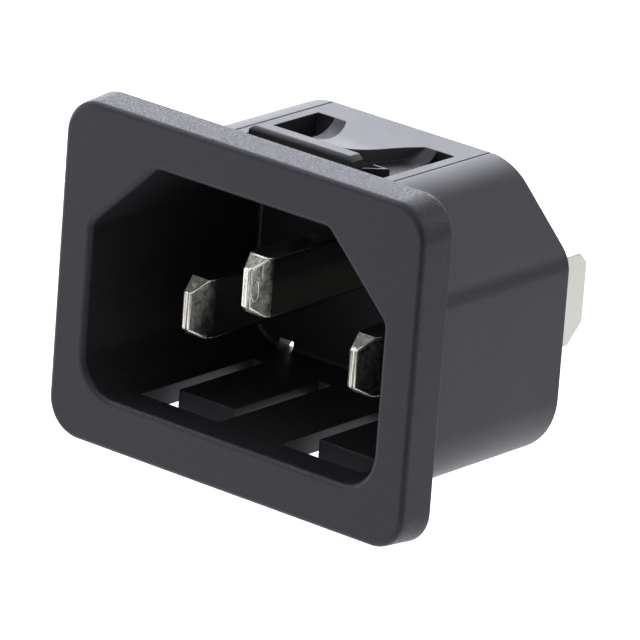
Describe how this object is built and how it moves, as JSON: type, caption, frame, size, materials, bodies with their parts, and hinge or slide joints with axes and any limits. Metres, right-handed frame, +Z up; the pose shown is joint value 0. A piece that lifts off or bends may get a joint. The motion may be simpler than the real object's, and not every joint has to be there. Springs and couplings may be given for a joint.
{
  "type": "c14 panel inlet socket",
  "caption": "Snap-in male mains inlet for a panel cut-out: bezel, hooded blade contacts in a keyed cavity, rear blade tabs, snap latches above and below.",
  "frame": {"origin": "centre of the panel cut-out, on the rear face of the bezel", "axes": "+X right seen from the front, +Y back through the panel, +Z up, towards the earth contact"},
  "size_m": [0.03, 0.0269, 0.0231],
  "materials": {
    "housing_plastic": "fine spark-eroded moulded texture",
    "contact_metal": "nickel-plated brass strip, satin"
  },
  "bodies": {
    "root": {"housing": "housing_plastic", "line_pin": "contact_metal", "neutral_pin": "contact_metal", "earth_pin": "contact_metal"}
  },
  "joints": []
}
